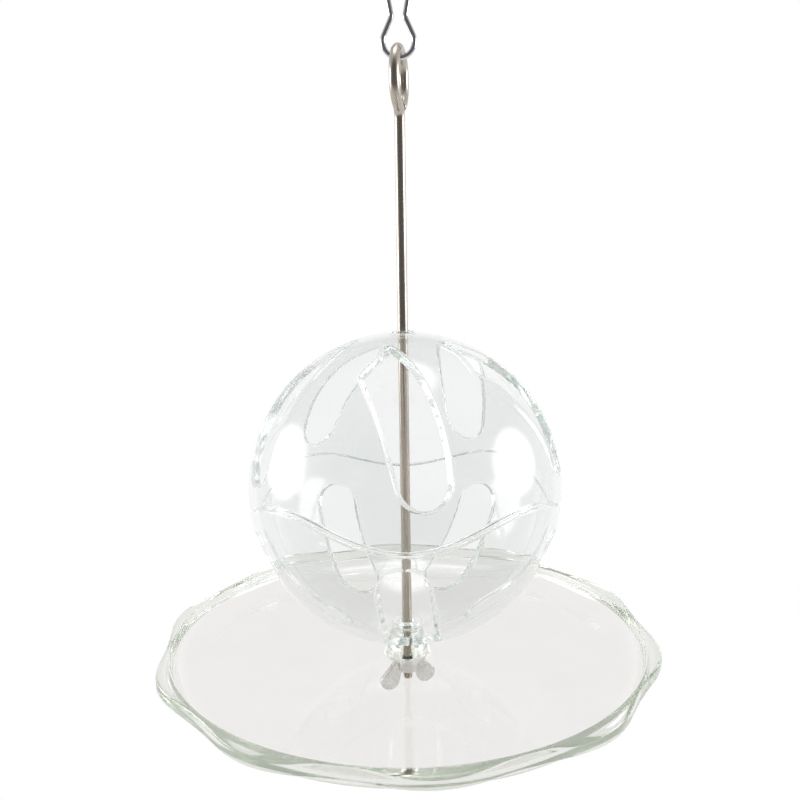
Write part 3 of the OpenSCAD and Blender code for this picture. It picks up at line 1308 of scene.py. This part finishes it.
@dataclass
class Tray:
    """Clear round dish with a curved wall, a scalloped flange and a hub.

    Attributes:
        heights: Heights of the pieces.
        lip_r: Radius over the lip.
        wall: Thickness of the wall.
        cove: Inner radius of the curved wall.
        cove_ease: How much tighter the inner curve is.
        lip_edge: Radius of the lip's inner edge.
        lip_flat: Plain ring of the lip's top, within its radius.
        flange_w: Reach of the flange at the middle of its waves.
        flange_t: Height of the flange's edge, down from the lip.
        flange_edge: Radius of the flange's edges.
        flange_root: How far within the lip's radius the scallops begin.
        wave: Rise and fall of the scallops.
        scallops: Number of scallops.
        scallop_turn: Turn of the scallops, in degrees.
        hub_r: Radius of the hub's top.
        hub_foot_r: Radius of the hub's foot.
        hub_drop: Hub below the lip.
        hub_edge: Radius of the hub's upper edge.
        hub_fillet: Radius between hub and floor.
        hole_r: Radius of the rod hole.
        hole_edge: Radius of the hole's edges.
        floor_clear: Plain floor without rings beside the hub's foot and the curved wall.
        base_clear: Plain underside without rings beside the hub's foot and the curved wall.
        sides: Steps round the tray.
    """

    heights: Heights
    lip_r: float = 78.7
    wall: float = 2.0
    cove: float = 7.5
    cove_ease: float = 1.0
    lip_edge: float = 0.9
    lip_flat: float = 0.6
    flange_w: float = 1.6
    flange_t: float = 4.2
    flange_edge: float = 1.0
    flange_root: float = 0.98
    wave: float = 1.6
    scallops: int = 10
    scallop_turn: float = 5.0
    hub_r: float = 5.0
    hub_foot_r: float = 7.5
    hub_drop: float = 0.2
    hub_edge: float = 0.4
    hub_fillet: float = 1.2
    hole_r: float = 2.0
    hole_edge: float = 0.3
    floor_clear: tuple[float, float] = (4.0, 0.5)
    base_clear: tuple[float, float] = (4.5, 4.0)
    sides: int = 400

    def profile(self) -> list[Vector]:
        """Give the dish's closed profile, with the flange at the middle of its waves.

        Returns:
            Points as distance from the rod and height, from the rod hole's foot.
        """
        lip, base = self.heights.lip, self.heights.base
        floor, hub = base + self.wall, lip - self.hub_drop
        inner_r = self.lip_r - self.wall
        cove_r = inner_r - self.cove
        under = lip - self.flange_t
        tip = self.lip_r + self.flange_w
        outer_cove = self.cove + self.wall
        dip = math.degrees(math.asin(self.flange_t / outer_cove))
        (floor_in, floor_out), (base_in, base_out) = self.floor_clear, self.base_clear
        floor_rings = np.linspace(self.hub_foot_r + floor_in, cove_r - floor_out, 14).tolist()
        base_rings = np.linspace(cove_r - base_out, self.hub_foot_r + base_in, 10).tolist()
        corners = [
            (self.hole_r, base, self.hole_edge), (self.hole_r, hub, self.hole_edge),
            (self.hub_r, hub, self.hub_edge), (self.hub_foot_r, floor, self.hub_fillet),
            *((r, floor, 0.0) for r in floor_rings),
            (inner_r, floor, self.cove - self.cove_ease), (inner_r, lip, self.lip_edge),
            (self.lip_r - self.lip_flat, lip, 0.0), (self.lip_r, lip, 0.0), (tip, lip, self.flange_edge),
            (tip, lip - self.flange_t / 2, 0.0), (tip, under, self.flange_edge), (self.lip_r, under, 0.0),
            *((p.x, p.y, 0.0) for p in arc((cove_r, lip), outer_cove, -dip, -90, steps=18)),
            *((r, base, 0.0) for r in base_rings)]
        return rounded(corners, steps=6)

    def build(self, finish: ClearPlastic) -> None:
        """Build the tray.

        Args:
            finish: Finish of the plastic.
        """
        draft = Draft()
        root = self.lip_r - self.flange_root
        turn = math.radians(90 - self.scallop_turn)
        loops = []
        for point in self.profile():
            share = max(0.0, (point.x - root) / (self.lip_r + self.flange_w - root))
            ring = []
            for a in around(self.sides):
                reach = point.x + share * self.wave * math.cos(self.scallops * (a + turn))
                ring.append(Vector((reach * math.cos(a), reach * math.sin(a), point.y)))
            loops.append(draft.loop(ring))
            if point.x > self.lip_r:
                draft.frosted.update(loops[-1])
        draft.strips(loops, True)
        draft.build("clear_tray_dish", "tray", Slot.TRAY, finish.material(), "tray")


@dataclass
class Fasteners:
    """Washer and wing nut under the tray.

    Attributes:
        heights: Heights of the pieces.
        seat: Hairline between touching faces, which keeps them apart in the picture.
        washer_r: Radius of the washer.
        washer_hole: Radius of its hole.
        washer_edges: Radii of its edges at the hole, above and below.
        nut_r: Radius of the nut's body at the washer.
        foot_r: Radius of the nut's body at its foot.
        nut_h: Height of the nut's body.
        nut_edge: Radius of the body's edges.
        bore: Radius of its bore.
        bore_edge: Radius of the bore's edges.
        span: Half of the width over the wings.
        drop: Drop of the wing tips below the washer.
        thick: Thickness of a wing.
        tip_r: Radius of a wing's tip.
        tip_arc: First and last angle of the tip's arc, in degrees.
        wing_sink: How far a wing's upper corner lies within the nut's side.
        wing_edge: Radius of a wing's edges.
        wing_ease: Length over which the corners of a wing's outline are eased.
        wing_step: Length of the steps along that outline.
        turn: Turn of the wings, in degrees.
    """

    heights: Heights
    seat: float = 0.05
    washer_r: float = 6.0
    washer_hole: float = 1.8
    washer_edges: tuple[float, float, float] = (0.12, 0.3, 0.2)
    nut_r: float = 4.0
    foot_r: float = 3.5
    nut_h: float = 4.6
    nut_edge: float = 0.35
    bore: float = 1.53
    bore_edge: float = 0.2
    span: float = 10.0
    drop: float = 10.5
    thick: float = 1.8
    tip_r: float = 3.4
    tip_arc: tuple[float, float] = (200.0, 375.0)
    wing_sink: float = 0.1
    wing_edge: float = 0.45
    wing_ease: float = 0.8
    wing_step: float = 0.35
    turn: float = 25.0

    def washer(self, material: bpy.types.Material) -> None:
        """Build the washer, with a rounder upper edge as punching leaves it.

        Args:
            material: Its material.
        """
        low, high = self.heights.washer, self.heights.base - self.seat
        hole_edge, top_edge, low_edge = self.washer_edges
        profile = [(self.washer_hole, low, hole_edge), (self.washer_hole, high, hole_edge),
                   (self.washer_r, high, top_edge), (self.washer_r, low, low_edge)]
        draft = Draft()
        draft.lathe(rounded(profile, steps=4), 96, True)
        draft.build("flat_washer", "washer", Slot.FASTENER, material, "washer")

    def wing(self, draft: Draft, side: float) -> None:
        """Add one wing with rounded edges.

        Args:
            draft: Mesh that takes the wing.
            side: Turn of the wing about the rod, in degrees.
        """
        root = (self.bore + self.foot_r) / 2
        tip = Vector((self.span - self.tip_r, self.tip_r - self.drop))
        outline = [Vector((root, 0.0)), Vector((root, -self.nut_h)),
                   *arc(tip, self.tip_r, *self.tip_arc, steps=30),
                   Vector((self.nut_r - self.wing_sink, 0.0))]
        flat = eased(outline, self.wing_ease, self.wing_step)
        away = outward(flat)
        rows = [(self.wing_edge * (1 - math.sin(a)), self.thick / 2 - self.wing_edge * (1 - math.cos(a)))
                for a in quarter(4)]
        rows += [(inset, -deep) for inset, deep in reversed(rows)]
        spin = Matrix.Rotation(math.radians(side + self.turn), 3, "Z")
        lift = UP * self.heights.washer
        loops = []
        for inset, deep in rows:
            ring = [p - inset * n for p, n in zip(flat, away)]
            loops.append(draft.loop(spin @ Vector((p.x, deep, p.y)) + lift for p in ring))
        draft.strips(loops)
        draft.cap(loops[0])
        draft.cap(loops[-1])

    def nut(self, material: bpy.types.Material) -> None:
        """Build the wing nut.

        Args:
            material: Its material.
        """
        low, high = self.heights.washer - self.nut_h, self.heights.washer - self.seat
        profile = [(self.bore, low, self.bore_edge), (self.bore, high, self.bore_edge),
                   (self.nut_r, high, self.nut_edge), (self.foot_r, low, self.nut_edge)]
        draft = Draft()
        draft.lathe(rounded(profile, steps=4), 72, True)
        for side in (0.0, 180.0):
            self.wing(draft, side)
        draft.build("wing_nut_cast", "nut", Slot.FASTENER, material, "wing_nut")

    def build(self, finish: TurnedSteel) -> None:
        """Build washer and nut.

        Args:
            finish: Finish of both.
        """
        material = finish.material()
        self.washer(material)
        self.nut(material)


@dataclass(frozen=True)
class Softbox:
    """A soft lamp that faces the ball and fades towards its edges.

    Attributes:
        name: Name of the lamp.
        direction: Direction from the ball's middle.
        distance: Distance in metres.
        width: Width in metres.
        height: Height in metres.
        watts: Power.
        core: Distance from the cloth's middle up to which it is fully bright, in cloth widths.
        rim: Distance from the cloth's middle at which it is dark, in cloth widths.
    """

    name: str
    direction: tuple[float, float, float]
    distance: float
    width: float
    height: float
    watts: float
    core: float = 0.28
    rim: float = 0.52

    def build(self, middle: Vector) -> None:
        """Build the lamp.

        Args:
            middle: The ball's middle in metres.
        """
        lamp = bpy.data.lights.new(self.name, "AREA")
        lamp.shape = "RECTANGLE"
        lamp.size, lamp.size_y, lamp.energy = self.width, self.height, self.watts
        lamp.use_nodes = True
        kit = NodeKit(lamp.node_tree)
        cloth = {0: kit.node("ShaderNodeNewGeometry")["Parametric"], 1: (0.5, 0.5, 0.0)}
        off = kit.node("ShaderNodeVectorMath", {"operation": "DISTANCE"}, cloth)["Value"]
        glow = kit.node("ShaderNodeEmission", None, {"Strength": off.ramp(self.core, self.rim, 1.0, 0.0)})
        kit.node("ShaderNodeOutputLight", None, {"Surface": glow["Emission"]})
        holder = bpy.data.objects.new(self.name, lamp)
        away = Vector(self.direction).normalized()
        holder.location = middle + away * self.distance
        holder.rotation_euler = away.to_track_quat("Z", "Y").to_euler()
        holder.visible_camera = False
        bpy.context.scene.collection.objects.link(holder)


@dataclass
class Studio:
    """White floor, white surroundings, soft lamps and the camera.

    Attributes:
        heights: Heights of the pieces.
        camera_at: Camera from the ball's middle.
        pitch: Downward look of the camera, in degrees.
        roll: Roll of the camera, in degrees.
        focal: Focal length in pixels.
        picture: Width of the picture in pixels.
        lamps: The softboxes.
        floor_drop: Floor below the rod's end.
        floor_r: Radius of the floor in metres.
        paper: Lightness of the floor's paper.
        shadow: Share of the paper's own light and shadow near the object.
        shadow_fade: Distances from the rod in metres between which that share fades.
        dim_front: Brightness of the studio's end behind the camera, in open reflections.
        dim_within: Brightness of that end in reflections that pass through the plastic.
        dim_floor: Distances in front of the rod in metres between which the floor dims in reflections.
        dim_back: Shares of a look to the front between which the surroundings dim in reflections.
        ceiling: Brightness of the ceiling, seen through the plastic.
        ceiling_rise: Shares of a look upwards between which the ceiling begins.
        fill: Light of the surroundings on the floor and other matt things.
        bounces: How often light may turn in the clear plastic.
        clamp: Highest brightness of light that has turned.
    """

    heights: Heights
    camera_at: tuple[float, float, float] = (-1.224, -272.55, 78.02)
    pitch: float = 10.34
    roll: float = -0.9
    focal: float = 869.34
    picture: float = 800.0
    lamps: tuple[Softbox, ...] = (
        Softbox("left_softbox", (-0.974, 0.143, 0.174), 0.95, 0.80, 0.66, 9.0),
        Softbox("right_softbox", (0.977, -0.038, 0.209), 0.95, 0.80, 0.66, 9.0),
        Softbox("top_softbox", (0.0, 0.12, 1.0), 1.3, 1.0, 1.0, 10.0))
    floor_drop: float = 110.0
    floor_r: float = 5.0
    paper: float = 0.92
    shadow: float = 0.2
    shadow_fade: tuple[float, float] = (0.2, 0.6)
    dim_front: float = 0.16
    dim_within: float = 0.82
    dim_floor: tuple[float, float] = (0.05, 0.5)
    dim_back: tuple[float, float] = (0.15, 0.75)
    ceiling: float = 0.8
    ceiling_rise: tuple[float, float] = (0.10, 0.50)
    fill: float = 0.55
    bounces: int = 96
    clamp: float = 3.0

    def camera(self) -> None:
        """Set up the camera."""
        lens = bpy.data.cameras.new("camera")
        lens.sensor_width = 36.0
        lens.lens = self.focal * lens.sensor_width / self.picture
        lens.clip_start, lens.clip_end = 0.01, 50.0
        holder = bpy.data.objects.new("camera", lens)
        pitch, roll = math.radians(self.pitch), math.radians(self.roll)
        ahead = Vector((0.0, math.cos(pitch), -math.sin(pitch)))
        above = Vector((0.0, math.sin(pitch), math.cos(pitch)))
        right = Vector((1.0, 0.0, 0.0)) * math.cos(roll) + above * math.sin(roll)
        turned = Matrix((right, right.cross(ahead), -ahead)).transposed()
        at = (Vector(self.camera_at) + UP * self.heights.ball) * MM
        holder.matrix_world = Matrix.Translation(at) @ turned.to_4x4()
        bpy.context.scene.collection.objects.link(holder)
        bpy.context.scene.camera = holder

    def dimming(self, kit: NodeKit) -> Num:
        """Tell how much of the light from behind the camera a ray lacks, nought if never mirrored."""
        within = kit.seen("Transmission Depth").ramp(0.0, 1.0, 1.0 - self.dim_front, 1.0 - self.dim_within)
        return kit.seen("Glossy Depth").ramp(0.0, 1.0) * within

    def floor(self) -> None:
        """Build the floor, white to the eye and with the object's soft shadow."""
        kit, material = NodeKit.of_material("studio_floor")
        place = kit.node("ShaderNodeTexCoord")["Object"]
        far = place.length().ramp(*self.shadow_fade)
        front = (-kit.node("ShaderNodeSeparateXYZ", None, {0: place})["Y"]).ramp(*self.dim_floor)
        paper = kit.node("ShaderNodeBsdfPrincipled", None, {
            "Base Color": (self.paper, self.paper, self.paper, 1.0),
            "Roughness": 0.9,
            "Specular IOR Level": 0.0,
        })["BSDF"]
        white, dark = (
            kit.node("ShaderNodeEmission", None, {"Color": WHITE, "Strength": strength})["Emission"]
            for strength in (1.0, 0.0))
        shown = kit.mix(self.dimming(kit) * front, white, dark)
        direct = kit.seen("Is Camera Ray", "Is Glossy Ray", "Is Transmission Ray")
        surface = kit.mix(direct * ((1.0 - self.shadow) + self.shadow * far), paper, shown)
        kit.node("ShaderNodeOutputMaterial", None, {"Surface": surface})
        mesh = bpy.data.meshes.new("studio_floor")
        shape = bmesh.new()
        bmesh.ops.create_circle(shape, cap_ends=True, segments=96, radius=self.floor_r)
        shape.to_mesh(mesh)
        shape.free()
        mesh.materials.append(material)
        floor = bpy.data.objects.new("studio_floor", mesh)
        floor.location.z = (self.heights.rod_low - self.floor_drop) * MM
        bpy.context.scene.collection.objects.link(floor)

    def world(self) -> None:
        """Set up the surroundings: white to the eye, with a dim ceiling and a dim end behind the camera."""
        world = bpy.data.worlds.new("studio")
        world.use_nodes = True
        bpy.context.scene.world = world
        kit = NodeKit(world.node_tree)
        look = kit.node("ShaderNodeSeparateXYZ", None, {0: kit.node("ShaderNodeTexCoord")["Generated"]})
        low = look["Z"].ramp(*self.ceiling_rise, 1.0, 0.0)
        back = (-look["Y"]).ramp(*self.dim_back)
        white, ceiling, end, fill = (
            kit.node("ShaderNodeBackground", None, {"Color": WHITE, "Strength": strength})["Background"]
            for strength in (1.0, self.ceiling, 0.0, self.fill))
        seen = kit.mix(self.dimming(kit) * back, kit.mix(low, ceiling, white), end)
        seen = kit.mix(kit.seen("Is Diffuse Ray"), seen, fill)
        seen = kit.mix(kit.seen("Is Camera Ray"), seen, white)
        kit.node("ShaderNodeOutputWorld", None, {"Surface": seen})

    def build(self) -> None:
        """Build floor, surroundings, lamps and camera."""
        self.floor()
        self.world()
        for lamp in self.lamps:
            lamp.build(UP * self.heights.ball * MM)
        bpy.context.scene.view_settings.view_transform = "Standard"
        cycles = bpy.context.scene.cycles
        cycles.sample_clamp_indirect = self.clamp
        cycles.max_bounces = cycles.transmission_bounces = cycles.glossy_bounces = self.bounces
        self.camera()
        LOG.info("studio: floor, surroundings, %d softboxes and camera", len(self.lamps))


def main() -> None:
    """Build the pieces in the order in which they hang, then the studio."""
    logging.basicConfig(level=logging.INFO, format="%(message)s")
    heights = Heights.read(Ball.radius)
    Hook().build(PLATED_WIRE)
    EyeRod(heights).build(DRAWN_STAINLESS)
    Ball(heights).build(CLEAR_BALL)
    Tray(heights).build(CLEAR_TRAY)
    Fasteners(heights).build(TURNED_STEEL)
    Studio(heights).build()


if __name__ == "__main__":
    main()
